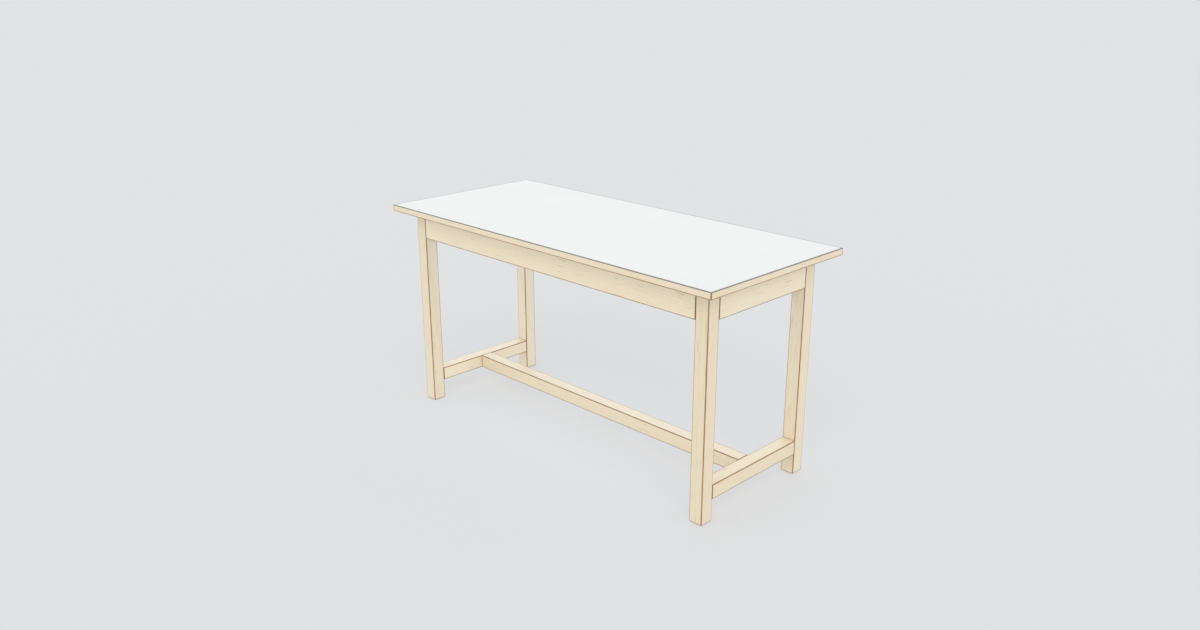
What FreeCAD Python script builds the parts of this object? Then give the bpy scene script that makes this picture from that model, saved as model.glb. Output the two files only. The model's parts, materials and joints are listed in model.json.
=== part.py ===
import FreeCAD, Part
import os

import Sketcher

# Workbench: a laminate top on a doweled birch frame with four legs.
# Millimetres. The origin is on the floor under the middle of the top.
# +X runs along the bench, +Y from its front to its back and +Z up.

SIZES = {
    # The whole bench
    "bench_length": 1850,
    "bench_depth": 800,
    "bench_height": 950,
    "end_overhang": 70,
    "front_overhang": 77.5,
    # Layers and edges of the top
    "laminate_thickness": 3,
    "laminate_arris": 1,
    "core_thickness": 24,
    "backing_thickness": 1,
    "lipping_width": 20,
    "lipping_arris": 1.5,
    "top_corner_chamfer": 1.5,
    # Legs, rails and stretchers
    "leg_width": 60,
    "leg_rounding": 3,
    "leg_foot_chamfer": 2,
    "rail_height": 120,
    "rail_thickness": 27,
    "rail_rounding": 2,
    "stretcher_width": 60,
    "stretcher_height": 60,
    "stretcher_above_floor": 92,
    "stretcher_rounding": 2,
    # Dowels
    "rail_dowel_diameter": 10,
    "rail_dowel_length": 60,
    "stretcher_dowel_diameter": 12,
    "stretcher_dowel_length": 60,
    "dowel_chamfer": 1,
    "dowel_hole_spare": 1,
    # Corner blocks behind the legs, and their screws
    "block_height": 40,
    "block_end_width": 10,
    "block_to_leg_gap": 0.5,
    "block_screw_setback": 25,
    "block_screw_to_dowel": 11,
    "block_seat_below_slope": 2,
    "block_counterbore_depth": 12,
    "block_arris": 1,
    "block_screw_diameter": 4.5,
    "block_screw_head_diameter": 9,
    "block_screw_head_height": 3,
    # Angle brackets under the top, and their screws
    "bracket_flange": 40,
    "bracket_width": 22,
    "bracket_thickness": 3,
    "bracket_bend": 2,
    "bracket_corner_rounding": 5,
    "bracket_hole_from_bend": 25,
    "bracket_screw_diameter": 4,
    "bracket_screw_head_diameter": 8,
    "bracket_screw_head_height": 2.6,
    # What all the screws share
    "screw_hole_clearance": 0.5,
    "screw_head_clearance": 1,
    "screw_head_rounding": 1,
    "screw_point_length": 5,
    "screw_recess_width": 1,
    "screw_recess_depth": 1.4,
    "screw_recess_margin": 2,
    "wood_past_rail_screw": 10,
    "wood_past_top_screw": 8,
    # Floor glides
    "glide_diameter": 30,
    "glide_thickness": 6,
    "glide_proud": 2,
    "glide_rounding": 1,
    "glide_clearance": 0.4,
    "glide_stem_diameter": 8,
    "glide_stem_length": 20,
    "glide_stem_spare": 2,
}

RAIL_DOWELS = 3
STRETCHER_DOWELS = 2

# Lengths and places that follow from the sizes, as expressions for the document
TOP_THICKNESS = "(size.laminate_thickness + size.core_thickness + size.backing_thickness)"
FRAME_TOP = f"(size.bench_height - {TOP_THICKNESS})"
FRAME_X = "(size.bench_length / 2 - size.end_overhang)"
FRAME_Y = "(size.bench_depth / 2 - size.front_overhang)"
LEG_X = f"({FRAME_X} - size.leg_width / 2)"
LEG_Y = f"({FRAME_Y} - size.leg_width / 2)"
LEG_LENGTH = f"({FRAME_TOP} - size.glide_proud)"
RAIL_X = f"({FRAME_X} - size.rail_thickness / 2)"
RAIL_Y = f"({FRAME_Y} - size.rail_thickness / 2)"
RAIL_BOTTOM = f"({FRAME_TOP} - size.rail_height)"
LONG_RAIL = f"(2 * ({FRAME_X} - size.leg_width))"
SHORT_RAIL = f"(2 * ({FRAME_Y} - size.leg_width))"
LONG_STRETCHER = f"(2 * {LEG_X} - size.stretcher_width)"
RAIL_DOWEL_HOLE = "(size.rail_dowel_length / 2 + size.dowel_hole_spare)"
STRETCHER_DOWEL_HOLE = "(size.stretcher_dowel_length / 2 + size.dowel_hole_spare)"

# The corner where the inner faces of two rails meet, and the block that fills it
CORNER_X = f"({FRAME_X} - size.rail_thickness)"
CORNER_Y = f"({FRAME_Y} - size.rail_thickness)"
LEG_INSET = "(size.leg_width - size.rail_thickness)"
BLOCK_NOTCH = f"({LEG_INSET} + size.block_to_leg_gap)"
BLOCK_SCREW_FROM_LEG = f"({RAIL_DOWEL_HOLE} + size.block_screw_to_dowel)"
BLOCK_SCREW_ALONG = f"({LEG_INSET} + {BLOCK_SCREW_FROM_LEG})"
BLOCK_REACH = f"({BLOCK_SCREW_ALONG} + size.block_screw_setback)"
BLOCK_HEAD_BORE = "(size.block_screw_head_diameter + size.screw_head_clearance)"
BLOCK_SCREW_HOLE = "(size.block_screw_diameter + size.screw_hole_clearance)"
BLOCK_SEAT = (
    f"(size.block_end_width + size.block_screw_setback - {BLOCK_HEAD_BORE} / 2 - size.block_seat_below_slope)"
)
BLOCK_MIDDLE = f"(({BLOCK_NOTCH} + ({BLOCK_REACH} + size.block_end_width) / 2) / 2)"
BLOCK_TOP_GRIP = "(size.block_height - size.block_counterbore_depth)"

# How deep the screws go into the rails and into the top
RAIL_BITE = "(size.rail_thickness - size.wood_past_rail_screw)"
CORE_BITE = "(size.core_thickness - size.wood_past_top_screw)"
TOP_BITE = f"(size.backing_thickness + {CORE_BITE})"

BRACKET_ALONG_RAIL = f"({LONG_RAIL} / 4)"
BRACKET_HOLE = "(size.bracket_screw_diameter + size.screw_hole_clearance)"
GLIDE_RECESS = "(size.glide_thickness - size.glide_proud)"

# The quarter turn that brings a piece made for the front, or the front left corner, to each place
SIDES = {"front": 0, "right": 90, "back": 180, "left": 270}
CORNERS = {"front_left": 0, "front_right": 90, "back_right": 180, "back_left": 270}
END_SIDES = ("right", "left")
CORNER_SIGNS = {
    "front_left": (-1, -1),
    "front_right": (1, -1),
    "back_right": (1, 1),
    "back_left": (-1, 1),
}

X_AXIS = FreeCAD.Vector(1, 0, 0)
Z_AXIS = FreeCAD.Vector(0, 0, 1)
CLOSE = 1e-6

DOCUMENT = FreeCAD.newDocument("workbench")
SHEET = DOCUMENT.addObject("Spreadsheet::Sheet", "size")


def fill_sheet():
    """Write each driving size into the sheet, with its name beside it."""
    for row, (name, millimetres) in enumerate(SIZES.items(), start=1):
        SHEET.set(f"A{row}", name)
        SHEET.set(f"B{row}", str(millimetres))
        SHEET.setAlias(f"B{row}", name)
    DOCUMENT.recompute()


def value(expression):
    """The number that an expression has with the sizes now in the sheet."""
    return float(SHEET.evalExpression(expression))


def signed(sign, expression):
    """The expression, or its negative."""
    return expression if sign > 0 else f"-({expression})"


def turned(turn, across, inward):
    """X and Y, as expressions, of a point that a quarter turn about Z carries round."""
    places = {
        0: (across, inward),
        90: (f"-({inward})", across),
        180: (f"-({across})", f"-({inward})"),
        270: (inward, f"-({across})"),
    }
    return places[turn]


def place(thing, rotation, at):
    """Turn an object and tie its position to three expressions."""
    thing.Placement = FreeCAD.Placement(FreeCAD.Vector(), rotation)
    for axis, expression in zip("xyz", at):
        thing.setExpression(f"Placement.Base.{axis}", expression)


def new_body(label, turn, at):
    """A body for one sub-part, turned about Z and placed by expressions."""
    body = DOCUMENT.addObject("PartDesign::Body", label)
    body.Label = label
    place(body, FreeCAD.Rotation(Z_AXIS, turn), at)
    return body


def origin_plane(body, role):
    """One of the body's three origin planes."""
    return next(plane for plane in body.Origin.OriginFeatures if plane.Role == role)


def sketch_on(body, name, role, height="0"):
    """A sketch on an origin plane of the body, or parallel to it at a height along its normal."""
    sketch = body.newObject("Sketcher::SketchObject", name)
    sketch.AttachmentSupport = [(origin_plane(body, role), "")]
    sketch.MapMode = "FlatFace"
    sketch.setExpression("AttachmentOffset.Base.z", height)
    return sketch


def constrain(sketch, constraint, expression):
    """Add a dimension to a sketch and tie it to an expression."""
    index = sketch.addConstraint(constraint)
    sketch.setExpression(f"Constraints[{index}]", expression)


def fix_point(sketch, shape, point, across, up):
    """Hold a point of a sketched shape at its distances from the sketch's origin."""
    constrain(sketch, Sketcher.Constraint("DistanceX", -1, 1, shape, point, value(across)), across)
    constrain(sketch, Sketcher.Constraint("DistanceY", -1, 1, shape, point, value(up)), up)


def polygon(sketch, points):
    """Draw a closed outline through points given as pairs of expressions."""
    corners = [FreeCAD.Vector(value(across), value(up), 0) for across, up in points]
    count = len(corners)
    for number, corner in enumerate(corners):
        sketch.addGeometry(Part.LineSegment(corner, corners[(number + 1) % count]), False)
    for number, (across, up) in enumerate(points):
        sketch.addConstraint(Sketcher.Constraint("Coincident", number, 2, (number + 1) % count, 1))
        fix_point(sketch, number, 1, across, up)


def rectangle(sketch, left, right, low, high):
    """Draw a rectangle between four expressions."""
    polygon(sketch, [(left, low), (right, low), (right, high), (left, high)])


def circles(sketch, diameter, centres):
    """Draw equal circles at centres given as pairs of expressions."""
    for across, up in centres:
        middle = FreeCAD.Vector(value(across), value(up), 0)
        shape = sketch.addGeometry(Part.Circle(middle, Z_AXIS, value(diameter) / 2), False)
        constrain(sketch, Sketcher.Constraint("Diameter", shape, value(diameter)), diameter)
        fix_point(sketch, shape, 3, across, up)


def pad(body, sketch, length, symmetric=False):
    """Extrude a sketch along its normal, or half to each side."""
    feature = body.newObject("PartDesign::Pad", "pad")
    feature.Profile = sketch
    feature.SideType = "Symmetric" if symmetric else "One side"
    feature.setExpression("Length", length)


def pocket(body, sketch, depth, along_normal=False):
    """Cut a sketch into the body, against the sketch's normal or along it."""
    feature = body.newObject("PartDesign::Pocket", "pocket")
    feature.Profile = sketch
    feature.Reversed = along_normal
    feature.setExpression("Length", depth)


def revolve(body, sketch):
    """Turn a sketch once round its own vertical axis."""
    feature = body.newObject("PartDesign::Revolution", "revolution")
    feature.Profile = sketch
    feature.ReferenceAxis = (sketch, ["V_Axis"])


def mirror(body, role, whole=False):
    """Repeat the last feature, or the whole body, on the other side of an origin plane."""
    last = body.Tip
    feature = body.newObject("PartDesign::Mirrored", "mirror")
    if whole:
        feature.TransformMode = "Whole shape"
    else:
        feature.Originals = [last]
    feature.MirrorPlane = (origin_plane(body, role), [""])
    body.Tip = feature


def finish_edges(body, kind, amount, wanted):
    """Round (Fillet) or bevel (Chamfer) the edges of the body that a test picks out."""
    DOCUMENT.recompute()
    last = body.Tip
    names = [f"Edge{number}" for number, edge in enumerate(last.Shape.Edges, start=1) if wanted(edge)]
    feature = body.newObject(f"PartDesign::{kind}", kind.lower())
    feature.Base = (last, names)
    feature.setExpression("Radius" if kind == "Fillet" else "Size", amount)


def runs_along(edge, axis):
    """True for a straight edge parallel to an axis."""
    return isinstance(edge.Curve, Part.Line) and edge.Curve.Direction.cross(axis).Length < CLOSE


def lies_at_height(edge, height):
    """True for an edge that keeps to one height in its body."""
    box = edge.BoundBox
    return abs(box.ZMin - height) < CLOSE and abs(box.ZMax - height) < CLOSE


def rail_rows(side):
    """Heights of the dowels in a rail. The side rails' rows lie between those of the long rails."""
    first = 1 if side in END_SIDES else 2
    steps = 2 * RAIL_DOWELS + 1
    return [f"(size.rail_height * {first + 2 * row} / {steps})" for row in range(RAIL_DOWELS)]


def stretcher_rows():
    """Heights of the dowels in a stretcher, spread evenly over its section."""
    steps = 2 * STRETCHER_DOWELS
    return [f"(size.stretcher_height * {2 * row + 1} / {steps})" for row in range(STRETCHER_DOWELS)]


def rail_place(side):
    """Length of a rail and the position of the middle of its underside."""
    length, distance = (SHORT_RAIL, RAIL_X) if side in END_SIDES else (LONG_RAIL, RAIL_Y)
    return length, (*turned(SIDES[side], "0", f"-({distance})"), RAIL_BOTTOM)


def end_stretcher_place(side):
    """Position of the middle of an end stretcher's underside, centred under the legs of that end."""
    return (*turned(SIDES[side], "0", f"-({LEG_X})"), "size.stretcher_above_floor")


def bracket_places(side):
    """Places along a rail, from its middle, that have a bracket."""
    return ["0"] if side in END_SIDES else [f"-({BRACKET_ALONG_RAIL})", BRACKET_ALONG_RAIL]


def rail_face(side, along, inward):
    """X and Y, as expressions, of a point given from the middle of a rail's inner face."""
    distance = CORNER_X if side in END_SIDES else CORNER_Y
    return turned(SIDES[side], along, f"({inward} - {distance})")


def corner_point(corner, across, inward):
    """X and Y, as expressions, of a point given from a corner of the rails' inner faces."""
    sign_x, sign_y = CORNER_SIGNS[corner]
    over, into = turned(CORNERS[corner], across, inward)
    return f"({signed(sign_x, CORNER_X)} + {over})", f"({signed(sign_y, CORNER_Y)} + {into})"


def block_top_screw_places():
    """X and Y of the screws that go up through the corner blocks."""
    return [corner_point(corner, BLOCK_MIDDLE, BLOCK_MIDDLE) for corner in CORNERS]


def bracket_top_screw_places():
    """X and Y of the screws that go up through the brackets."""
    return [
        rail_face(side, along, "size.bracket_hole_from_bend")
        for side in SIDES
        for along in bracket_places(side)
    ]


def make_work_surface():
    """White compact laminate, over the core and the lippings."""
    body = new_body("work_surface", 0, ("0", "0", "size.bench_height - size.laminate_thickness"))
    outline = sketch_on(body, "outline", "XY_Plane")
    half_x, half_y = "size.bench_length / 2", "size.bench_depth / 2"
    near_x, near_y = f"{half_x} - size.top_corner_chamfer", f"{half_y} - size.top_corner_chamfer"
    polygon(outline, [
        (f"-({near_x})", f"-({half_y})"),
        (near_x, f"-({half_y})"),
        (half_x, f"-({near_y})"),
        (half_x, near_y),
        (near_x, half_y),
        (f"-({near_x})", half_y),
        (f"-({half_x})", near_y),
        (f"-({half_x})", f"-({near_y})"),
    ])
    pad(body, outline, "size.laminate_thickness")
    thickness = value("size.laminate_thickness")
    finish_edges(body, "Chamfer", "size.laminate_arris", lambda edge: lies_at_height(edge, thickness))
    return body


def make_board(label, bottom, thickness, hole_depth):
    """A flat layer of the top inside the lippings, with holes for the screws from below."""
    body = new_body(label, 0, ("0", "0", bottom))
    outline = sketch_on(body, "outline", "XY_Plane")
    half_x = "size.bench_length / 2 - size.lipping_width"
    half_y = "size.bench_depth / 2 - size.lipping_width"
    rectangle(outline, f"-({half_x})", half_x, f"-({half_y})", half_y)
    pad(body, outline, thickness)
    for diameter, places in (
        ("size.block_screw_diameter", block_top_screw_places()),
        ("size.bracket_screw_diameter", bracket_top_screw_places()),
    ):
        holes = sketch_on(body, "screw_holes", "XY_Plane")
        circles(holes, diameter, places)
        pocket(body, holes, hole_depth, along_normal=True)
    return body


def make_lipping(side):
    """Solid wood edge of the top, mitred at both ends, as deep as the core and its backing."""
    length, depth = "size.bench_length", "size.bench_depth"
    if side in END_SIDES:
        length, depth = depth, length
    body = new_body(f"{side}_lipping", SIDES[side], ("0", "0", FRAME_TOP))
    outline = sketch_on(body, "outline", "XY_Plane")
    chamfer = "size.top_corner_chamfer"
    outer = f"{length} / 2 - {chamfer}"
    mitre = f"{length} / 2 - {chamfer} / 2"
    inner = f"{length} / 2 - size.lipping_width"
    outer_face = f"-({depth} / 2)"
    mitre_face = f"-({depth} / 2 - {chamfer} / 2)"
    inner_face = f"-({depth} / 2 - size.lipping_width)"
    polygon(outline, [
        (f"-({outer})", outer_face),
        (outer, outer_face),
        (mitre, mitre_face),
        (inner, inner_face),
        (f"-({inner})", inner_face),
        (f"-({mitre})", mitre_face),
    ])
    pad(body, outline, "size.core_thickness + size.backing_thickness")
    face = value(outer_face)
    finish_edges(
        body, "Chamfer", "size.lipping_arris",
        lambda edge: lies_at_height(edge, 0) and abs(edge.BoundBox.YMax - face) < CLOSE,
    )
    return body


def make_leg(corner):
    """Square leg with dowel holes for two rails and a stretcher, and a recess for its glide."""
    sign_x, sign_y = CORNER_SIGNS[corner]
    turn = 0 if sign_y < 0 else 180
    toward_rail = -sign_x if turn == 0 else sign_x
    body = new_body(
        f"{corner}_leg", turn, (signed(sign_x, LEG_X), signed(sign_y, LEG_Y), "size.glide_proud")
    )
    half = "size.leg_width / 2"
    section = sketch_on(body, "section", "XY_Plane")
    rectangle(section, f"-{half}", half, f"-{half}", half)
    pad(body, section, LEG_LENGTH)
    finish_edges(body, "Fillet", "size.leg_rounding", lambda edge: runs_along(edge, Z_AXIS))
    finish_edges(body, "Chamfer", "size.leg_foot_chamfer", lambda edge: lies_at_height(edge, 0))

    rail_bottom = f"({LEG_LENGTH} - size.rail_height)"
    rail_line = f"({half} - size.rail_thickness / 2)"
    long_rail = sketch_on(body, "long_rail_dowel_holes", "YZ_Plane", signed(toward_rail, half))
    circles(long_rail, "size.rail_dowel_diameter", [
        (f"-{rail_line}", f"{rail_bottom} + {row}") for row in rail_rows("front")
    ])
    pocket(body, long_rail, RAIL_DOWEL_HOLE, along_normal=toward_rail < 0)

    end_rail = sketch_on(body, "end_rail_dowel_holes", "XZ_Plane", f"-{half}")
    circles(end_rail, "size.rail_dowel_diameter", [
        (signed(-toward_rail, rail_line), f"{rail_bottom} + {row}") for row in rail_rows("left")
    ])
    pocket(body, end_rail, RAIL_DOWEL_HOLE, along_normal=True)

    stretcher = sketch_on(body, "stretcher_dowel_holes", "XZ_Plane", f"-{half}")
    circles(stretcher, "size.stretcher_dowel_diameter", [
        ("0", f"size.stretcher_above_floor - size.glide_proud + {row}") for row in stretcher_rows()
    ])
    pocket(body, stretcher, STRETCHER_DOWEL_HOLE, along_normal=True)

    recess = sketch_on(body, "glide_recess", "XY_Plane")
    circles(recess, "size.glide_diameter + size.glide_clearance", [("0", "0")])
    pocket(body, recess, GLIDE_RECESS, along_normal=True)
    stem_hole = sketch_on(body, "glide_stem_hole", "XY_Plane")
    circles(stem_hole, "size.glide_stem_diameter", [("0", "0")])
    stem_depth = f"{GLIDE_RECESS} + size.glide_stem_length + size.glide_stem_spare"
    pocket(body, stem_hole, stem_depth, along_normal=True)
    return body


def make_rail(side):
    """Rail under the top, flush with the legs, with dowel holes in its ends and screw holes inside."""
    length, at = rail_place(side)
    body = new_body(f"{side}_rail", SIDES[side], at)
    half = "size.rail_thickness / 2"
    section = sketch_on(body, "section", "YZ_Plane")
    rectangle(section, f"-{half}", half, "0", "size.rail_height")
    pad(body, section, length, symmetric=True)
    finish_edges(
        body, "Fillet", "size.rail_rounding",
        lambda edge: runs_along(edge, X_AXIS) and lies_at_height(edge, 0),
    )
    dowel_holes = sketch_on(body, "dowel_holes", "YZ_Plane", f"{length} / 2")
    circles(dowel_holes, "size.rail_dowel_diameter", [("0", row) for row in rail_rows(side)])
    pocket(body, dowel_holes, RAIL_DOWEL_HOLE)
    mirror(body, "YZ_Plane")

    block_along = f"({length} / 2 - {BLOCK_SCREW_FROM_LEG})"
    block_height = "size.rail_height - size.block_height / 2"
    bracket_height = "size.rail_height - size.bracket_hole_from_bend"
    for diameter, places in (
        ("size.block_screw_diameter", [(f"-{block_along}", block_height), (block_along, block_height)]),
        ("size.bracket_screw_diameter", [(along, bracket_height) for along in bracket_places(side)]),
    ):
        screw_holes = sketch_on(body, "screw_holes", "XZ_Plane", f"-{half}")
        circles(screw_holes, diameter, places)
        pocket(body, screw_holes, RAIL_BITE, along_normal=True)
    return body


def make_stretcher(label, turn, length, at):
    """Square bar near the floor, with dowel holes in both ends."""
    body = new_body(label, turn, at)
    half = "size.stretcher_width / 2"
    section = sketch_on(body, "section", "YZ_Plane")
    rectangle(section, f"-{half}", half, "0", "size.stretcher_height")
    pad(body, section, length, symmetric=True)
    finish_edges(body, "Fillet", "size.stretcher_rounding", lambda edge: runs_along(edge, X_AXIS))
    dowel_holes = sketch_on(body, "dowel_holes", "YZ_Plane", f"{length} / 2")
    circles(dowel_holes, "size.stretcher_dowel_diameter", [("0", row) for row in stretcher_rows()])
    pocket(body, dowel_holes, STRETCHER_DOWEL_HOLE)
    mirror(body, "YZ_Plane")
    return body


def make_end_stretcher(side):
    """Stretcher between a front and a back leg, which the long stretcher meets in its middle."""
    body = make_stretcher(f"{side}_stretcher", SIDES[side], SHORT_RAIL, end_stretcher_place(side))
    middle_holes = sketch_on(body, "long_stretcher_dowel_holes", "XZ_Plane", "-size.stretcher_width / 2")
    circles(middle_holes, "size.stretcher_dowel_diameter", [("0", row) for row in stretcher_rows()])
    pocket(body, middle_holes, STRETCHER_DOWEL_HOLE, along_normal=True)
    return body


def make_dowels(label, turn, at, joint, rows, diameter, length):
    """Dowels across the joints at both ends of a rail or stretcher, half in each piece."""
    body = new_body(label, turn, at)
    section = sketch_on(body, "section", "YZ_Plane", joint)
    circles(section, diameter, [("0", row) for row in rows])
    pad(body, section, length, symmetric=True)
    finish_edges(body, "Chamfer", "size.dowel_chamfer", lambda edge: isinstance(edge.Curve, Part.Circle))
    mirror(body, "YZ_Plane", whole=True)
    return body


def make_rail_dowels(side):
    """Dowels between a rail and its two legs."""
    length, at = rail_place(side)
    return make_dowels(
        f"{side}_rail_dowels", SIDES[side], at, f"{length} / 2", rail_rows(side),
        "size.rail_dowel_diameter", "size.rail_dowel_length",
    )


def make_stretcher_dowels(label, turn, length, at):
    """Dowels at both ends of a stretcher."""
    return make_dowels(
        label, turn, at, f"{length} / 2", stretcher_rows(),
        "size.stretcher_dowel_diameter", "size.stretcher_dowel_length",
    )


def make_corner_block(corner):
    """Block glued into the corner of two rails, notched round the leg and drilled for three screws."""
    at = (*corner_point(corner, "0", "0"), f"{FRAME_TOP} - size.block_height")
    body = new_body(f"{corner}_corner_block", CORNERS[corner], at)
    outline = sketch_on(body, "outline", "XY_Plane")
    polygon(outline, [
        (BLOCK_NOTCH, "0"),
        (BLOCK_REACH, "0"),
        (BLOCK_REACH, "size.block_end_width"),
        ("size.block_end_width", BLOCK_REACH),
        ("0", BLOCK_REACH),
        ("0", BLOCK_NOTCH),
        (BLOCK_NOTCH, BLOCK_NOTCH),
    ])
    pad(body, outline, "size.block_height")
    ends = value(f"{BLOCK_REACH} + size.block_end_width")
    finish_edges(
        body, "Chamfer", "size.block_arris",
        lambda edge: lies_at_height(edge, 0) and abs(sum(edge.CenterOfMass[:2]) - ends) < CLOSE,
    )
    screw_height = "size.block_height / 2"
    for role, backward in (("XZ_Plane", False), ("YZ_Plane", True)):
        hole = sketch_on(body, "rail_screw_hole", role)
        circles(hole, BLOCK_SCREW_HOLE, [(BLOCK_SCREW_ALONG, screw_height)])
        pocket(body, hole, BLOCK_REACH, along_normal=backward)
        head_bore = sketch_on(body, "rail_screw_head_bore", role, signed(1 if backward else -1, BLOCK_SEAT))
        circles(head_bore, BLOCK_HEAD_BORE, [(BLOCK_SCREW_ALONG, screw_height)])
        pocket(body, head_bore, BLOCK_REACH, along_normal=backward)
    for diameter, depth in (
        (BLOCK_SCREW_HOLE, "size.block_height"),
        (BLOCK_HEAD_BORE, "size.block_counterbore_depth"),
    ):
        hole = sketch_on(body, "top_screw_hole", "XY_Plane")
        circles(hole, diameter, [(BLOCK_MIDDLE, BLOCK_MIDDLE)])
        pocket(body, hole, depth, along_normal=True)
    return body


def make_bracket(label, side, along):
    """Bent steel angle that holds the top to a rail."""
    body = new_body(label, SIDES[side], (*rail_face(side, along, "0"), FRAME_TOP))
    section = sketch_on(body, "section", "YZ_Plane")
    flange, thickness = "size.bracket_flange", "size.bracket_thickness"
    polygon(section, [
        ("0", f"-{flange}"),
        (thickness, f"-{flange}"),
        (thickness, f"-{thickness}"),
        (flange, f"-{thickness}"),
        (flange, "0"),
        ("0", "0"),
    ])
    pad(body, section, "size.bracket_width", symmetric=True)
    bend = value(thickness)
    outer_bend = FreeCAD.Vector(0, 0, 0)
    inner_bend = FreeCAD.Vector(0, bend, -bend)
    for middle, radius in (
        (outer_bend, f"size.bracket_bend + {thickness}"),
        (inner_bend, "size.bracket_bend"),
    ):
        finish_edges(
            body, "Fillet", radius,
            lambda edge, middle=middle: runs_along(edge, X_AXIS) and edge.CenterOfMass.isEqual(middle, CLOSE),
        )
    reach = value(flange)
    finish_edges(
        body, "Fillet", "size.bracket_corner_rounding",
        lambda edge: abs(edge.Length - bend) < CLOSE
        and max(edge.BoundBox.YMax, -edge.BoundBox.ZMin) > reach - CLOSE,
    )
    rail_hole = sketch_on(body, "rail_screw_hole", "XZ_Plane")
    circles(rail_hole, BRACKET_HOLE, [("0", "-size.bracket_hole_from_bend")])
    pocket(body, rail_hole, thickness)
    top_hole = sketch_on(body, "top_screw_hole", "XY_Plane")
    circles(top_hole, BRACKET_HOLE, [("0", "size.bracket_hole_from_bend")])
    pocket(body, top_hole, thickness)
    return body


def make_screw(label, use, length):
    """Pan head wood screw that points up, with the underside of its head at the origin."""
    body = new_body(label, 0, ("0", "0", "0"))
    shank = f"size.{use}_screw_diameter / 2"
    head = f"size.{use}_screw_head_diameter / 2"
    crown = f"-size.{use}_screw_head_height"
    profile = sketch_on(body, "profile", "XZ_Plane")
    polygon(profile, [
        ("0", crown),
        (head, crown),
        (head, "0"),
        (shank, "0"),
        (shank, f"{length} - size.screw_point_length"),
        ("0", length),
    ])
    revolve(body, profile)
    height = value(crown)
    finish_edges(body, "Fillet", "size.screw_head_rounding", lambda edge: lies_at_height(edge, height))
    recess = sketch_on(body, "cross_recess", "XY_Plane", crown)
    slim = "size.screw_recess_width / 2"
    wide = f"({head} - size.screw_recess_margin)"
    polygon(recess, [
        (slim, slim),
        (slim, wide),
        (f"-{slim}", wide),
        (f"-{slim}", slim),
        (f"-{wide}", slim),
        (f"-{wide}", f"-{slim}"),
        (f"-{slim}", f"-{slim}"),
        (f"-{slim}", f"-{wide}"),
        (slim, f"-{wide}"),
        (slim, f"-{slim}"),
        (wide, f"-{slim}"),
        (wide, slim),
    ])
    pocket(body, recess, "size.screw_recess_depth", along_normal=True)
    return body


def make_copies(label, master, places):
    """One group of separate solids, all alike, each with its own rotation and position."""
    links = []
    for number, (rotation, at) in enumerate(places, start=1):
        link = DOCUMENT.addObject("App::Link", f"{label}_{number}")
        link.LinkedObject = master
        place(link, rotation, at)
        links.append(link)
    group = DOCUMENT.addObject("Part::Compound", label)
    group.Label = label
    group.Links = links
    return group


def into_rail(turn):
    """Rotation of an upright screw to point outwards into the rail on a side."""
    return FreeCAD.Rotation(Z_AXIS, turn) * FreeCAD.Rotation(X_AXIS, 90)


def make_block_rail_screws():
    """Screws through the corner blocks, one into each rail."""
    screw = make_screw("block_rail_screw", "block", f"({BLOCK_SEAT} + {RAIL_BITE})")
    height = f"{FRAME_TOP} - size.block_height / 2"
    places = []
    for corner, turn in CORNERS.items():
        first = corner_point(corner, BLOCK_SCREW_ALONG, BLOCK_SEAT)
        second = corner_point(corner, BLOCK_SEAT, BLOCK_SCREW_ALONG)
        places.append((into_rail(turn), (*first, height)))
        places.append((into_rail(turn - 90), (*second, height)))
    return make_copies("corner_block_rail_screws", screw, places)


def make_block_top_screws():
    """Screws through the corner blocks, up into the top."""
    screw = make_screw("block_top_screw", "block", f"({BLOCK_TOP_GRIP} + {TOP_BITE})")
    height = f"{FRAME_TOP} - {BLOCK_TOP_GRIP}"
    places = [(FreeCAD.Rotation(), (*spot, height)) for spot in block_top_screw_places()]
    return make_copies("corner_block_top_screws", screw, places)


def make_bracket_rail_screws():
    """Screws that hold the brackets to the rails."""
    screw = make_screw("bracket_rail_screw", "bracket", f"(size.bracket_thickness + {RAIL_BITE})")
    height = f"{FRAME_TOP} - size.bracket_hole_from_bend"
    places = [
        (into_rail(turn), (*rail_face(side, along, "size.bracket_thickness"), height))
        for side, turn in SIDES.items()
        for along in bracket_places(side)
    ]
    return make_copies("bracket_rail_screws", screw, places)


def make_bracket_top_screws():
    """Screws that hold the top down on the brackets."""
    screw = make_screw("bracket_top_screw", "bracket", f"(size.bracket_thickness + {TOP_BITE})")
    height = f"{FRAME_TOP} - size.bracket_thickness"
    places = [(FreeCAD.Rotation(), (*spot, height)) for spot in bracket_top_screw_places()]
    return make_copies("bracket_top_screws", screw, places)


def make_glide(corner):
    """Round plastic foot, pressed into the end of a leg by its stem."""
    sign_x, sign_y = CORNER_SIGNS[corner]
    body = new_body(f"{corner}_glide", 0, (signed(sign_x, LEG_X), signed(sign_y, LEG_Y), "0"))
    profile = sketch_on(body, "profile", "XZ_Plane")
    foot, stem = "size.glide_diameter / 2", "size.glide_stem_diameter / 2"
    stem_top = "size.glide_thickness + size.glide_stem_length"
    polygon(profile, [
        ("0", "0"),
        (foot, "0"),
        (foot, "size.glide_thickness"),
        (stem, "size.glide_thickness"),
        (stem, stem_top),
        ("0", stem_top),
    ])
    revolve(body, profile)
    finish_edges(body, "Fillet", "size.glide_rounding", lambda edge: lies_at_height(edge, 0))
    return body


def make_top():
    """The laminate, the core, the sheet under it and the four lippings."""
    core_bottom = f"{FRAME_TOP} + size.backing_thickness"
    sheet_depth = "size.backing_thickness"
    yield make_work_surface()
    yield make_board("top_core", core_bottom, "size.core_thickness", CORE_BITE)
    yield make_board("top_backing_sheet", FRAME_TOP, sheet_depth, sheet_depth)
    for side in SIDES:
        yield make_lipping(side)


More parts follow.
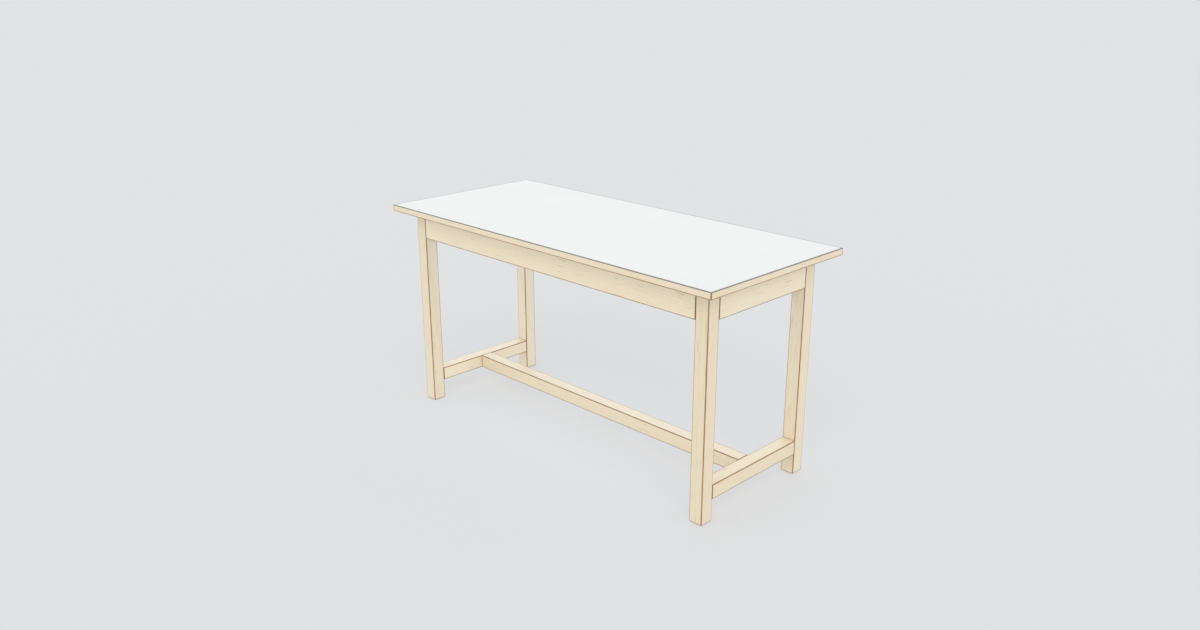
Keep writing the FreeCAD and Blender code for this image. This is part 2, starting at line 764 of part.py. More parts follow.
def make_frame():
    """The legs, rails and stretchers with their dowels and glides."""
    for corner in CORNERS:
        yield make_leg(corner)
        yield make_glide(corner)
    for side in SIDES:
        yield make_rail(side)
        yield make_rail_dowels(side)
    for side in END_SIDES:
        at = end_stretcher_place(side)
        yield make_end_stretcher(side)
        yield make_stretcher_dowels(f"{side}_stretcher_dowels", SIDES[side], SHORT_RAIL, at)
    middle = ("0", "0", "size.stretcher_above_floor")
    yield make_stretcher("long_stretcher", 0, LONG_STRETCHER, middle)
    yield make_stretcher_dowels("long_stretcher_dowels", 0, LONG_STRETCHER, middle)


def make_fixings():
    """The corner blocks, the brackets and all the screws."""
    for corner in CORNERS:
        yield make_corner_block(corner)
    for side in END_SIDES:
        yield make_bracket(f"{side}_bracket", side, "0")
    for end, sign in (("left", -1), ("right", 1)):
        yield make_bracket(f"front_{end}_bracket", "front", signed(sign, BRACKET_ALONG_RAIL))
        yield make_bracket(f"back_{end}_bracket", "back", signed(-sign, BRACKET_ALONG_RAIL))
    yield make_block_rail_screws()
    yield make_block_top_screws()
    yield make_bracket_rail_screws()
    yield make_bracket_top_screws()


def check_bench(subparts):
    """Stop if any object failed, a cut took nothing away or a sub-part has no sound shape."""
    for thing in DOCUMENT.Objects:
        if {"Invalid", "Error"} & set(thing.State):
            raise RuntimeError(f"{thing.Label} failed: {thing.State}")
    for cut in DOCUMENT.findObjects("PartDesign::Pocket"):
        if cut.Shape.Volume > cut.BaseFeature.Shape.Volume - CLOSE:
            raise RuntimeError(f"{cut.Label} in {cut.getParentGeoFeatureGroup().Label} cuts nothing")
    for subpart in subparts:
        if subpart.Shape.isNull() or not subpart.Shape.isValid():
            raise RuntimeError(f"{subpart.Label} has no valid shape")


def write_parts(subparts):
    """Write each sub-part to its own file."""
    os.makedirs("parts", exist_ok=True)
    for subpart in subparts:
        subpart.Shape.exportStep(f"parts/{subpart.Label}.step")
        print(f"{subpart.Label}: {len(subpart.Shape.Solids)} solids, {subpart.Shape.Volume:.0f} mm3")


fill_sheet()
bench = [*make_top(), *make_frame(), *make_fixings()]
DOCUMENT.recompute()
check_bench(bench)
write_parts(bench)
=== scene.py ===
# %% [markdown]
# # A birch workbench with a white laminate top
# The bench in this lesson is plain joinery: four square legs, four rails under the top, an H of
# stretchers near the floor, and a white top with a wooden edge. Its solids were drawn as exact shapes
# beforehand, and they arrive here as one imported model. Every solid already has its right size, place
# and rounded edges, so none of them is moved or remodelled. The work left for Blender is what the eye
# sees: a camera, a floor, soft light, and a finish for each material.

import json
import math

import bpy
from mathutils import Euler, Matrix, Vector


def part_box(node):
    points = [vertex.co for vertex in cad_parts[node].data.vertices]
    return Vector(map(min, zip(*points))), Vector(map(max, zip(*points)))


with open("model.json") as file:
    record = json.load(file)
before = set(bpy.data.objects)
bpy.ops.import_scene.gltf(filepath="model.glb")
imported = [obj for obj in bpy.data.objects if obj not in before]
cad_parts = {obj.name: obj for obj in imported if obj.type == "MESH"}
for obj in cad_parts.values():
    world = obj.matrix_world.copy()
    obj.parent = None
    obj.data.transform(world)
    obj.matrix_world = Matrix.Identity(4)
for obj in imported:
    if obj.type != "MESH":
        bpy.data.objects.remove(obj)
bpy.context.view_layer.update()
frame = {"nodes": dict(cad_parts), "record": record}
solids = frame["nodes"]
bpy.ops.object.select_all(action="DESELECT")
print("solids:", len(solids))

# %% [markdown]
# ## The camera
# The picture was taken from above the front right corner, about two metres up. A camera can be aimed
# with a constraint, but here its place and its two angles are known, so they are typed in. The lens is
# given in millimetres on a 36 mm wide sensor, as on a real camera.

# %% Place the camera
CAMERA_PLACE = (2.980, -2.980, 2.000)
CAMERA_TILT = math.radians(71)
CAMERA_TURN = math.radians(45)
SENSOR_WIDTH = 36
LENS = 30.975
FARTHEST_SEEN = 300

bpy.ops.object.camera_add(location=CAMERA_PLACE, rotation=(CAMERA_TILT, 0, CAMERA_TURN))
camera = bpy.context.object
camera.name = "camera"
camera.data.sensor_width = SENSOR_WIDTH
camera.data.lens = LENS
camera.data.clip_end = FARTHEST_SEEN
bpy.context.scene.camera = camera
print("camera at", CAMERA_PLACE, "with a lens of", LENS, "mm")

# %% [markdown]
# ## Colours and nodes
# Colours are read off swatches and screens as sRGB hex values, while shaders count in linear light, so
# one function turns the first into the second. A second function adds a node to a tree, sets it up and
# links it. Writing a material then comes down to one call for each node, in the order in which the
# nodes are wired.

# %% Helpers for materials
MM = 0.001
COLOUR_A = 6  # the Mix node's colour sockets go by number, as its number sockets have the same names
COLOUR_B = 7
COLOUR_OUT = 2


def linear(hex_colour):
    """An sRGB hex colour as linear red, green, blue and alpha, by the sRGB standard's own numbers."""
    shares = [int(hex_colour[at:at + 2], 16) / 255 for at in (1, 3, 5)]
    light = [s / 12.92 if s <= 0.04045 else ((s + 0.055) / 1.055) ** 2.4 for s in shares]
    return (*light, 1)


def add_node(tree, kind, inputs, **settings):
    """Add a node, set its own properties, and give each input a value or a link."""
    node = tree.nodes.new(f"ShaderNode{kind}")
    for name, setting in settings.items():
        setattr(node, name, setting)
    for name, given in inputs.items():
        if isinstance(given, bpy.types.NodeSocket):
            tree.links.new(given, node.inputs[name])
        else:
            node.inputs[name].default_value = given
    return node


def new_material(name):
    """An empty material, ready for nodes."""
    material = bpy.data.materials.new(name)
    material.use_nodes = True
    material.node_tree.nodes.clear()
    return material


print("white in linear light:", linear("#FFFFFF"))

# %% [markdown]
# ## The floor
# A pale floor gives the bench something to stand on. It could be a small square with a wall behind it,
# but the camera looks almost to the horizon, so the floor is a disc that reaches far beyond the picture.
# It glows a little of itself, like a sheet lit from below, so the shadow under the bench stays faint.

# %% Make the floor
FLOOR_RADIUS = 90
FLOOR_SIDES = 64
FLOOR_GREY = "#969798"
FLOOR_LIGHT = "#E0E1E2"
FLOOR_GLOW = 0.6
FLOOR_PATCH = 400 * MM
FLOOR_SHEEN = {"To Min": 0.70, "To Max": 0.80}

bpy.ops.mesh.primitive_circle_add(vertices=FLOOR_SIDES, radius=FLOOR_RADIUS, fill_type="NGON")
floor = bpy.context.object
floor.name = "studio_floor"
paint = new_material("matt_floor_paint")  # pale and dull, with no reflections
tree = paint.node_tree
place = add_node(tree, "TexCoord", {})
patches = add_node(tree, "TexNoise", {"Vector": place.outputs["Object"], "Scale": 1 / FLOOR_PATCH})
sheen = add_node(tree, "MapRange", {"Value": patches.outputs["Fac"], **FLOOR_SHEEN})
coat = add_node(tree, "BsdfPrincipled", {
    "Base Color": linear(FLOOR_GREY),
    "Roughness": sheen.outputs["Result"],
    "Specular IOR Level": 0,
    "Emission Color": linear(FLOOR_LIGHT),
    "Emission Strength": FLOOR_GLOW,
})
add_node(tree, "OutputMaterial", {"Surface": coat.outputs["BSDF"]})
floor.data.materials.append(paint)
print("floor:", floor.dimensions.x, "m across")

# %% [markdown]
# ## The light
# The picture has the even light of a white room: no hard shadow, tops a little brighter than sides. A
# plain white world would come mostly from overhead, where the top of the bench blocks it. So this room
# is brightest in a band halfway up, which reaches in under the top, and near the horizon it is as bright
# as the floor, so no line shows where they meet. One soft lamp above the front right adds a little
# direction: its strength is pi times the brightness that it gives a white sheet facing it. The view
# transform is Standard, so a colour chosen by its hex value also shows as that value.

# %% Light the room
ROOM_LIGHT = 1.17
# Each band has the sine of its height over the horizon, and its share of the light
ROOM_BANDS = ((0, 0.65), (0.06, 0.65), (0.13, 1), (0.65, 1), (1, 0.2))
LAMP_LIGHT = 0.18
LAMP_HEIGHT = math.radians(48)
LAMP_TURN = math.radians(43)
LAMP_SPREAD = math.radians(50)

scene = bpy.context.scene
scene.view_settings.view_transform = "Standard"
room = bpy.data.worlds.new("white_room")
room.use_nodes = True
tree = room.node_tree
tree.nodes.clear()
place = add_node(tree, "TexCoord", {})
direction = add_node(tree, "SeparateXYZ", {"Vector": place.outputs["Generated"]})
bands = add_node(tree, "ValToRGB", {"Fac": direction.outputs["Z"]})
stops = bands.color_ramp.elements
while len(stops) < len(ROOM_BANDS):
    stops.new(1)
for stop, (height, share) in zip(stops, ROOM_BANDS):
    stop.position = height
    stop.color = (share, share, share, 1)
glow = add_node(tree, "Background", {"Color": bands.outputs["Color"], "Strength": ROOM_LIGHT})
add_node(tree, "OutputWorld", {"Surface": glow.outputs["Background"]})
scene.world = room

bpy.ops.object.light_add(type="SUN", rotation=(math.radians(90) - LAMP_HEIGHT, 0, LAMP_TURN))
lamp = bpy.context.object
lamp.name = "soft_lamp"
lamp.data.angle = LAMP_SPREAD
lamp.data.energy = LAMP_LIGHT * math.pi
print("lamp light against room light:", LAMP_LIGHT, ROOM_LIGHT)

# %% [markdown]
# ## Light under the top
# In the picture even the tops of the stretchers are bright, though the bench stands over them. More
# light from the room would make the rest too pale. A weak sheet of cool light is hung level with the
# lower edges of the rails instead, facing down. Its power is its brightness times pi times its area. It
# is hidden from the camera and from reflections, so only its light is seen.

# %% Light the space under the top
UNDER_LIGHT = 0.54
UNDER_COLOUR = "#A8CEFF"
left_end, front_face, rail_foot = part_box("front_rail")[0]
right_end, back_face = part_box("back_rail")[1].xy

bpy.ops.object.light_add(type="AREA", location=(0, 0, rail_foot))
under_lamp = bpy.context.object
under_lamp.name = "lamp_under_top"
under_lamp.data.color = linear(UNDER_COLOUR)[:3]
under_lamp.data.shape = "RECTANGLE"
under_lamp.data.size = right_end - left_end
under_lamp.data.size_y = back_face - front_face
under_lamp.data.energy = UNDER_LIGHT * math.pi * under_lamp.data.size * under_lamp.data.size_y
under_lamp.visible_camera = False
under_lamp.visible_glossy = False
print("lamp under the top:", round(under_lamp.data.energy, 2), "W")

# %% [markdown]
# ## The grain of the wood
# All the wood that shows is solid birch: nearly white, with faint growth rings, fine fibres and a few
# short brown flecks. A picture of wood would repeat and would not know where a board ends. A solid
# pattern runs through the board as the tree grew it, so long sides, edges and end grain agree where they
# meet. The rings are a wave round the heart of the log, fibres and flecks are noise drawn out along it,
# and a slow noise makes one stretch of a board a little paler than the next.

# %% Draw the grain
STRETCH = 26  # a fibre is drawn this many times longer than wide
RING_SPACING = 9 * MM  # birch rings are 2 to 4 mm apart, too fine to show, so they are drawn coarser
FIBRE_WIDTH = 4 * MM  # fibres are far under 1 mm, drawn coarser for the same reason
FLECK_WIDTH = 3 * MM  # flecks are 1 to 2 mm wide, and drawn a little coarser
TONE_WIDTH = 120 * MM
WAVE_TURN = 2 * math.pi / 20  # the wave pattern's own spacing at a scale of 1
RINGS = {"Scale": WAVE_TURN / RING_SPACING, "Distortion": 5, "Detail": 2, "Detail Scale": 0.6}
FIBRES = {"Scale": 1 / FIBRE_WIDTH, "Detail": 3, "Roughness": 0.6}
FLECKS = {"Scale": 1 / FLECK_WIDTH, "Detail": 0}
TONES = {"Scale": 1 / TONE_WIDTH, "Detail": 1}
RING_SHARE = 0.30
FIBRE_SHARE = 0.40
TONE_SHARE = 0.30
FLECK_RANGE = {"From Min": 0.74, "From Max": 0.84, "To Max": 0.6}


def draw_grain(tree, wood, heart, turn):
    """Wood with its fibres along X, turned into place round its heart: its colour and its fibres."""
    place = add_node(tree, "TexCoord", {})
    log = add_node(tree, "Mapping", {
        "Vector": place.outputs["Object"],
        "Location": heart,
        "Rotation": turn,
        "Scale": (STRETCH, 1, 1),
    }, vector_type="TEXTURE")
    along = {"Vector": log.outputs["Vector"]}
    rings = add_node(tree, "TexWave", {**along, **RINGS},
                     wave_type="RINGS", rings_direction="X", wave_profile="SAW")
    fibres = add_node(tree, "TexNoise", {**along, **FIBRES})
    tones = add_node(tree, "TexNoise", {**along, **TONES})
    specks = add_node(tree, "TexNoise", {**along, **FLECKS})

    ring_part = add_node(tree, "Math", {0: rings.outputs["Fac"], 1: RING_SHARE}, operation="MULTIPLY")
    fibre_part = add_node(tree, "Math", {
        0: fibres.outputs["Fac"], 1: FIBRE_SHARE, 2: ring_part.outputs["Value"],
    }, operation="MULTIPLY_ADD")
    depth = add_node(tree, "Math", {
        0: tones.outputs["Fac"], 1: TONE_SHARE, 2: fibre_part.outputs["Value"],
    }, operation="MULTIPLY_ADD")
    plain = add_node(tree, "Mix", {
        "Factor": depth.outputs["Value"],
        COLOUR_A: linear(wood["pale"]),
        COLOUR_B: linear(wood["dark"]),
    }, data_type="RGBA")
    fleck = add_node(tree, "MapRange", {"Value": specks.outputs["Fac"], **FLECK_RANGE})
    flecked = add_node(tree, "Mix", {
        "Factor": fleck.outputs["Result"],
        COLOUR_A: plain.outputs[COLOUR_OUT],
        COLOUR_B: linear(wood["fleck"]),
    }, data_type="RGBA")
    return flecked.outputs[COLOUR_OUT], fibres.outputs["Fac"]


print("grain: rings", RING_SPACING / MM, "mm apart, fibres", STRETCH, "times longer than wide")

# %% [markdown]
# ## Eased edges
# The edges of the boards were eased with a cutter, which burnishes the wood to a thin brown line. Such
# lines could be painted by hand, but they can also be found. A board is a box, and every point on it has
# a distance to the nearest face along X, along Y and along Z. On a face the least of the three is
# nothing, and the middle one then tells how far away the nearest edge is.

# %% Find the edges
# How far from an edge its line begins, and how near it is whole
EDGE_RANGE = {"From Min": 4.5 * MM, "From Max": 2.5 * MM}


def find_edges(tree, low, high, reach):
    """One on the edges of a board between two corners, and nothing out of reach of them."""
    place = add_node(tree, "TexCoord", {})
    from_middle = add_node(tree, "VectorMath", {
        0: place.outputs["Object"], 1: (low + high) / 2,
    }, operation="SUBTRACT")
    outward = add_node(tree, "VectorMath", {0: from_middle.outputs["Vector"]}, operation="ABSOLUTE")
    inside = add_node(tree, "VectorMath", {
        0: (high - low) / 2, 1: outward.outputs["Vector"],
    }, operation="SUBTRACT")
    way = add_node(tree, "SeparateXYZ", {"Vector": inside.outputs["Vector"]})
    lesser = add_node(tree, "Math", {0: way.outputs["X"], 1: way.outputs["Y"]}, operation="MINIMUM")
    greater = add_node(tree, "Math", {0: way.outputs["X"], 1: way.outputs["Y"]}, operation="MAXIMUM")
    bounded = add_node(tree, "Math", {
        0: greater.outputs["Value"], 1: way.outputs["Z"],
    }, operation="MINIMUM")
    middle = add_node(tree, "Math", {
        0: lesser.outputs["Value"], 1: bounded.outputs["Value"],
    }, operation="MAXIMUM")
    share = add_node(tree, "MapRange", {"Value": middle.outputs["Value"], **reach})
    return share.outputs["Result"]


print("edge lines begin", EDGE_RANGE["From Min"] / MM, "mm from an edge")

# %% [markdown]
# ## Birch under clear matt lacquer
# With grain and edges drawn, a wood needs its colours and its surface. The bench is sprayed with a clear
# matt lacquer: a thin film that lies over the wood, fills most of the grain and gives a soft white sheen
# where it is seen from low down. A Principled shader has such a film as its coat. Two kinds of edge get
# no line: the upper edge of a strip round the top is glued under the white sheet, out of the cutter's
# reach, and the glue blocks in the corners sit slantwise and are left as they were sawn.

# %% Make a wooden finish
BIRCH = {  # lacquered birch looks creamy and even, with a faint silky figure
    "name": "lacquered_birch",
    "pale": "#F3E7D0",
    "dark": "#E5D2AC",
    "fleck": "#B8986A",
    "edge": "#8A5E20",
    "sheen": {"To Min": 0.40, "To Max": 0.56},
    "lacquer": 0.8,
}
LACQUER_ROUGHNESS = 0.3
BURNISH_RANGE = {"From Min": 0.35, "From Max": 0.6, "To Min": 0.8, "To Max": 1}
FIBRE_RELIEF = 0.4 * MM
FIBRE_STRENGTH = 0.25


def make_wood(wood, piece, heart, turn):
    """The finish of one wooden piece."""
    material = new_material(f"{wood['name']}_{piece}")
    tree = material.node_tree
    colour, fibres = draw_grain(tree, wood, heart, turn)
    if "edge" in wood and not piece.endswith("block"):
        low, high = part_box(piece)
        if piece.endswith("lipping"):
            high.z += EDGE_RANGE["From Min"]
        uneven = add_node(tree, "MapRange", {"Value": fibres, **BURNISH_RANGE})
        burnish = add_node(tree, "Math", {
            0: find_edges(tree, low, high, EDGE_RANGE), 1: uneven.outputs["Result"],
        }, operation="MULTIPLY")
        line = add_node(tree, "Mix", {
            "Factor": burnish.outputs["Value"], COLOUR_A: colour, COLOUR_B: linear(wood["edge"]),
        }, data_type="RGBA")
        colour = line.outputs[COLOUR_OUT]
    sheen = add_node(tree, "MapRange", {"Value": fibres, **wood["sheen"]})
    relief = add_node(tree, "Bump", {
        "Height": fibres, "Strength": FIBRE_STRENGTH, "Distance": FIBRE_RELIEF,
    })
    surface = add_node(tree, "BsdfPrincipled", {
        "Base Color": colour,
        "Roughness": sheen.outputs["Result"],
        "Normal": relief.outputs["Normal"],
        "Coat Weight": wood["lacquer"],
        "Coat Roughness": LACQUER_ROUGHNESS,
    })
    add_node(tree, "OutputMaterial", {"Surface": surface.outputs["BSDF"]})
    return material


print("birch from", BIRCH["pale"], "to", BIRCH["dark"])

# %% [markdown]
# ## Which way the grain runs
# A joiner cuts every board with its fibres along its length. So the legs' fibres stand upright, the long
# rails, the long stretcher and the front and back strips of the top have theirs along the bench, and the
# end pieces have theirs across it. The glue blocks sit slantwise, and so do their fibres. Each board gets
# its own heart, a little way outside it, so no two boards look cut from the same spot.

# %% Turn the grain
ALONG_BENCH = (0, 0, 0)
ACROSS_BENCH = (0, 0, math.radians(90))
UPRIGHT = (0, math.radians(-90), 0)
SLANT = math.radians(45)
HEART_DISTANCE = 100 * MM
HEART_TURN = math.radians(137.5)  # the golden angle, so no two boards share a direction
LOG_STEP = 1  # each board lies a metre further along its log
BOARD_TILT = math.radians(0.7)
dressed = set()


def grain_turn(piece):
    """Which way the fibres of a piece run."""
    if piece.endswith("leg"):
        return UPRIGHT
    if piece.endswith("block"):
        return (0, 0, -SLANT if piece.startswith(("front_left", "back_right")) else SLANT)
    return ALONG_BENCH if piece.startswith(("front", "back", "long")) else ACROSS_BENCH


def dress(piece, material):
    """Give a solid its finish."""
    solids[piece].material_slots[0].material = material
    dressed.add(piece)


def dress_in_wood(pieces, wood):
    """Give each piece a finish of its own, from another part of a log."""
    for piece in pieces:
        low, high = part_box(piece)
        turn = grain_turn(piece)
        number = len(dressed)
        angle = number * HEART_TURN
        sideways = Vector((0, math.cos(angle), math.sin(angle))) * HEART_DISTANCE
        off_centre = Vector((number * LOG_STEP, 0, 0)) + sideways
        heart = (low + high) / 2 + Euler(turn).to_matrix() @ off_centre
        tilt = Vector((0, math.sin(angle), math.cos(angle))) * BOARD_TILT
        dress(piece, make_wood(wood, piece, heart, Vector(turn) + tilt))


print("legs stand upright:", grain_turn("front_left_leg") == UPRIGHT)

# %% [markdown]
# ## The birch pieces
# The imported record says which material each solid is made of, so the pieces are sorted by that. The
# wide thin rails, one leg and one stretcher stand in the shade of the top, so they are painted in paler
# colours: painted light that makes up for that shade.

# %% Dress the birch pieces
# painted light: paler birch colours for the boards that stand in the shade of the top
PALER_AGAINST_SHADE = {"pale": "#FBF1DB", "dark": "#EEDCB7"}
SHADED_BOARDS = ("back_left_leg", "left_stretcher")

pieces_of = {}
for row in frame["record"]["subparts"]:
    pieces_of.setdefault(row["material_slot"], []).append(row["node"])
rails = [piece for piece in pieces_of["birch"] if piece.endswith("rail")]
others = [piece for piece in pieces_of["birch"] if piece not in rails]
for piece in rails + others:
    # a rail or a board in the top's shade gets the paler colours, painted light against that shade
    paler = piece in rails or piece in SHADED_BOARDS
    dress_in_wood([piece], {**BIRCH, **PALER_AGAINST_SHADE} if paler else BIRCH)
print("birch pieces:", len(rails + others), "of which paler:", len(rails) + len(SHADED_BOARDS))

# %% [markdown]
# ## Beech dowels
# The joints are held by dowels of beech, a harder and redder wood with short dark flecks. They sit
# inside the joints and only show when a reader hides the boards. They are turned from dry stock and not
# lacquered, so the same grain is used with other colours, a duller sheen and no coat.

# %% Dress the dowels
BEECH = {  # turned beech looks pinkish brown and dry
    "name": "turned_beech",
    "pale": "#DDBB93",
    "dark": "#C69C70",
    "fleck": "#9A6E47",
    "sheen": {"To Min": 0.60, "To Max": 0.75},
    "lacquer": 0,
}
dress_in_wood(pieces_of["beech_dowel"], BEECH)
print("sets of dowels:", len(pieces_of["beech_dowel"]))

# %% [markdown]
# ## The white top
# The work surface is compact laminate: many sheets of brown paper pressed with resin, under a thin white
# sheet that has the pressing plate's fine matt texture. The white is plain, with the slightest change of
# shade across it, and its rim is rubbed a little grey. The edge finder for boards draws that rim too.

# %% Draw the white sheet
DECOR_WHITE = "#F0F1F1"
DECOR_SHADE = "#ECEDEE"
RIM_GREY = "#8A8A88"
RIM_RANGE = {"From Min": 7 * MM, "From Max": 4 * MM}
DECOR_TONE = 250 * MM
TONE_NOISE = {"Scale": 1 / DECOR_TONE, "Detail": 3}

laminate = new_material("white_compact_laminate")  # plain matt white, with a dark line where it is cut
tree = laminate.node_tree
place = add_node(tree, "TexCoord", {})
sheet = {"Vector": place.outputs["Object"]}
tone = add_node(tree, "TexNoise", {**sheet, **TONE_NOISE})
decor = add_node(tree, "Mix", {
    "Factor": tone.outputs["Fac"], COLOUR_A: linear(DECOR_WHITE), COLOUR_B: linear(DECOR_SHADE),
}, data_type="RGBA")
rimmed = add_node(tree, "Mix", {
    "Factor": find_edges(tree, *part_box("work_surface"), RIM_RANGE),
    COLOUR_A: decor.outputs[COLOUR_OUT],
    COLOUR_B: linear(RIM_GREY),
}, data_type="RGBA")
print("white sheet:", DECOR_WHITE, "with a rim of", RIM_GREY)

# %% [markdown]
# ## The cut edge of the top
# Where the sheet is cut and bevelled, its dark core shows as a thin line round the top. White and core
# could be two materials on different faces, but the solid stays as it came, with one slot. So one
# material shows the white where a face looks straight up, and the core on every other face.

# %% Dress the work surface
CORE_DARK = "#7B766F"
CORE_BROWN = "#8B847B"
PAPER_LAYER = 0.6 * MM  # the papers are about 0.2 mm thick, drawn coarser
PLATE_GRAIN = 3 * MM  # the texture is about 1 mm, too fine to show, so it is drawn coarser
PLATE_RELIEF = 0.2 * MM
PLATE_STRENGTH = 0.15
PAPERS = {"Scale": WAVE_TURN / PAPER_LAYER, "Distortion": 1}
PLATE_NOISE = {"Scale": 1 / PLATE_GRAIN, "Detail": 2}
LAMINATE_SHEEN = {"To Min": 0.40, "To Max": 0.52}
STRAIGHT_UP = 0.95  # a face looks straight up where its normal reaches this height

papers = add_node(tree, "TexWave", {**sheet, **PAPERS}, wave_type="BANDS", bands_direction="Z")
core = add_node(tree, "Mix", {
    "Factor": papers.outputs["Fac"], COLOUR_A: linear(CORE_DARK), COLOUR_B: linear(CORE_BROWN),
}, data_type="RGBA")
surface = add_node(tree, "NewGeometry", {})
facing = add_node(tree, "SeparateXYZ", {"Vector": surface.outputs["True Normal"]})
upward = add_node(tree, "Math", {0: facing.outputs["Z"], 1: STRAIGHT_UP}, operation="GREATER_THAN")
colour = add_node(tree, "Mix", {
    "Factor": upward.outputs["Value"],
    COLOUR_A: core.outputs[COLOUR_OUT],
    COLOUR_B: rimmed.outputs[COLOUR_OUT],
}, data_type="RGBA")
sheen = add_node(tree, "MapRange", {"Value": tone.outputs["Fac"], **LAMINATE_SHEEN})
plate = add_node(tree, "TexNoise", {**sheet, **PLATE_NOISE})
relief = add_node(tree, "Bump", {
    "Height": plate.outputs["Fac"], "Strength": PLATE_STRENGTH, "Distance": PLATE_RELIEF,
})
resin = add_node(tree, "BsdfPrincipled", {
    "Base Color": colour.outputs[COLOUR_OUT],
    "Roughness": sheen.outputs["Result"],
    "Normal": relief.outputs["Normal"],
})
add_node(tree, "OutputMaterial", {"Surface": resin.outputs["BSDF"]})
dress("work_surface", laminate)
print("top dressed in", laminate.name)

# %% [markdown]
# ## The veneers of the core
# Under the white sheet lies birch plywood, seventeen veneers thick. It is closed in by the sheets and
# the wooden strips, and shows only when a reader takes the top apart. Seventeen thin boards could be
# drawn, but they are glued for good, so one board with a layered pattern serves. Each veneer lies a
# quarter turn from the next, and the height inside a pair tells which of two fibre patterns to show.

# %% Stack the veneers
VENEERS = 17
HALF_OF_PAIR = 0.5
low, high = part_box("top_core")
veneer = (high.z - low.z) / VENEERS

plywood = new_material("sawn_birch_plywood")  # pale and brown stripes at the edges, plain on its faces
tree = plywood.node_tree
place = add_node(tree, "TexCoord", {})
board = {"Vector": place.outputs["Object"]}
pairs = add_node(tree, "Mapping", {
    **board, "Location": low, "Scale": (1, 1, 2 * veneer),
}, vector_type="TEXTURE")
height = add_node(tree, "SeparateXYZ", {"Vector": pairs.outputs["Vector"]})
step = add_node(tree, "Math", {0: height.outputs["Z"]}, operation="FRACT")
crossed = add_node(tree, "Math", {0: step.outputs["Value"], 1: HALF_OF_PAIR}, operation="GREATER_THAN")
grains = []
for stretch in ((STRETCH, 1, 1), (1, STRETCH, 1)):
    drawn_out = add_node(tree, "Mapping", {**board, "Scale": stretch}, vector_type="TEXTURE")
    grain = add_node(tree, "TexNoise", {"Vector": drawn_out.outputs["Vector"], **FIBRES})
    grains.append(grain.outputs["Fac"])
fibres = add_node(tree, "Mix", {"Factor": crossed.outputs["Value"], "A": grains[0], "B": grains[1]})
print("veneers:", VENEERS, "of", round(veneer / MM, 2), "mm")

# %% [markdown]
# ## The finish of the core
# At a sawn edge, pale veneers with their fibres along the cut alternate with darker ones whose fibres end
# there. The board was sawn and never lacquered, so it stays dull.

# %% Dress the core
VENEER_PALE = "#EBD9B4"
VENEER_DARK = "#C9A878"
CUT_SHARE = 0.6
SAWN_SHEEN = {"To Min": 0.65, "To Max": 0.80}

depth = add_node(tree, "Math", {
    0: crossed.outputs["Value"], 1: CUT_SHARE, 2: fibres.outputs["Result"],
}, operation="MULTIPLY_ADD")
colour = add_node(tree, "Mix", {
    "Factor": depth.outputs["Value"], COLOUR_A: linear(VENEER_PALE), COLOUR_B: linear(VENEER_DARK),
}, data_type="RGBA")
sheen = add_node(tree, "MapRange", {"Value": fibres.outputs["Result"], **SAWN_SHEEN})
relief = add_node(tree, "Bump", {
    "Height": fibres.outputs["Result"], "Strength": FIBRE_STRENGTH, "Distance": FIBRE_RELIEF,
})
sawn = add_node(tree, "BsdfPrincipled", {
    "Base Color": colour.outputs[COLOUR_OUT],
    "Roughness": sheen.outputs["Result"],
    "Normal": relief.outputs["Normal"],
})
add_node(tree, "OutputMaterial", {"Surface": sawn.outputs["BSDF"]})
dress("top_core", plywood)
print("core dressed in", plywood.name)

# %% [markdown]
# ## A finish for plain materials
# Three materials show only from below: a backing sheet, plated steel and a moulded plastic. None has a
# figure like wood. Each is two close shades in soft patches, with a fine raised grain that also breaks up
# its sheen, so one function makes all three from their own sizes.

# %% Make a mottled finish
PATCH_DETAIL = 3
GRAIN_DETAIL = 2
GRAIN_STRENGTH = 0.3


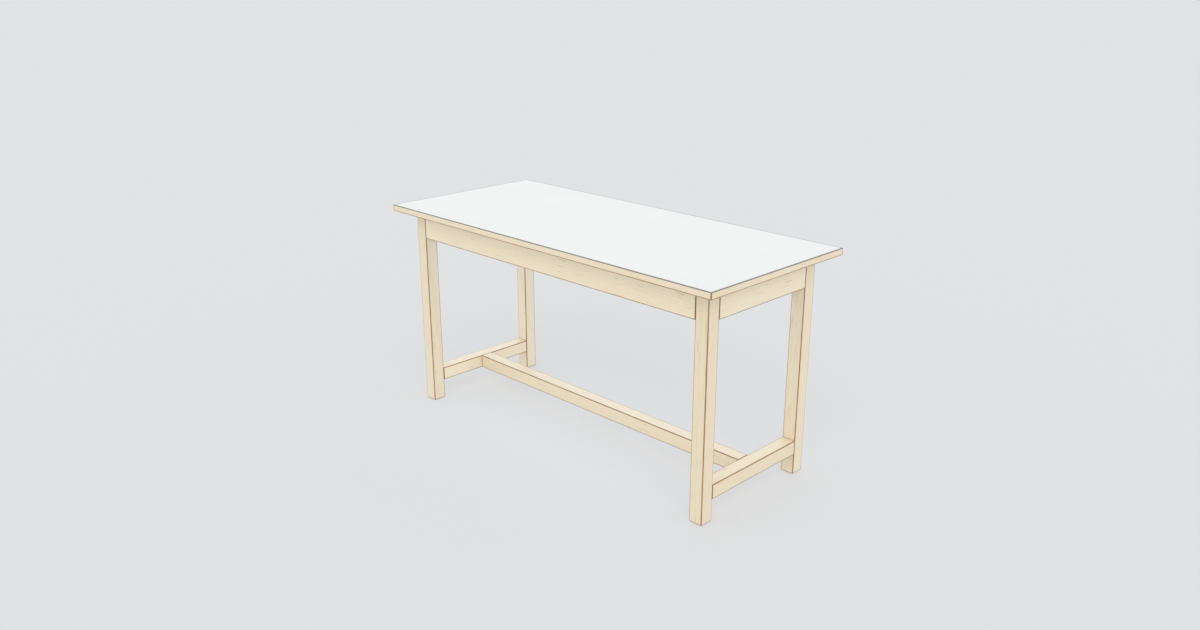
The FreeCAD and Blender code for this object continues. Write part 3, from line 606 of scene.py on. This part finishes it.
def make_mottled(look):
    """Two close shades in soft patches, with a fine raised grain."""
    material = new_material(look["name"])
    tree = material.node_tree
    place = add_node(tree, "TexCoord", {})
    patches = add_node(tree, "TexNoise", {
        "Vector": place.outputs["Object"], "Scale": 1 / look["patch"], "Detail": PATCH_DETAIL,
    })
    grains = add_node(tree, "TexNoise", {
        "Vector": place.outputs["Object"], "Scale": 1 / look["grain"], "Detail": GRAIN_DETAIL,
    })
    first, second = look["shades"]
    colour = add_node(tree, "Mix", {
        "Factor": patches.outputs["Fac"], COLOUR_A: linear(first), COLOUR_B: linear(second),
    }, data_type="RGBA")
    sheen = add_node(tree, "MapRange", {"Value": grains.outputs["Fac"], **look["sheen"]})
    relief = add_node(tree, "Bump", {
        "Height": grains.outputs["Fac"], "Strength": GRAIN_STRENGTH, "Distance": look["relief"],
    })
    surface = add_node(tree, "BsdfPrincipled", {
        "Base Color": colour.outputs[COLOUR_OUT],
        "Roughness": sheen.outputs["Result"],
        "Metallic": look["metallic"],
        "Normal": relief.outputs["Normal"],
    })
    add_node(tree, "OutputMaterial", {"Surface": surface.outputs["BSDF"]})
    return material


print("mottled finishes have a raised grain of strength", GRAIN_STRENGTH)

# %% [markdown]
# ## Backing sheet, steel and glides
# The backing sheet is thin grey-white laminate that keeps the top from bowing. The angle brackets and
# screws are steel with a bright zinc plate, bluish and a little cloudy. The glides under the legs are
# moulded polyamide, nearly black, with the mould's fine spark-eroded texture. The grain of all three is
# under a quarter of a millimetre, so it is drawn coarser to show at all.

# %% Dress the underside
UNDERSIDE = {
    "backing_laminate": {  # dull and papery
        "name": "pressed_backing_laminate",
        "shades": ("#E7E6E3", "#DBD9D5"),
        "patch": 60 * MM,
        "grain": 2 * MM,
        "relief": 0.1 * MM,
        "sheen": {"To Min": 0.55, "To Max": 0.70},
        "metallic": 0,
    },
    "zinc_plated_steel": {  # bright, with cloudy bluish patches
        "name": "zinc_plated_steel",
        "shades": ("#D6D9DC", "#B4BAC1"),
        "patch": 8 * MM,
        "grain": 0.8 * MM,
        "relief": 0.03 * MM,
        "sheen": {"To Min": 0.25, "To Max": 0.45},
        "metallic": 1,
    },
    "glide_plastic": {  # nearly black, with a dull bloom
        "name": "moulded_polyamide",
        "shades": ("#2C2D2F", "#3D3E40"),
        "patch": 10 * MM,
        "grain": 0.6 * MM,
        "relief": 0.05 * MM,
        "sheen": {"To Min": 0.45, "To Max": 0.60},
        "metallic": 0,
    },
}
for slot, look in UNDERSIDE.items():
    material = make_mottled(look)
    for piece in pieces_of[slot]:
        dress(piece, material)
    print(material.name, "on", len(pieces_of[slot]), "pieces")

# %% [markdown]
# ## Solids left bare
# Every solid should have a finish, so the solids left without one are listed.

# %% List the solids without a finish
print("solids without a finish:", sorted(set(solids) - dressed))
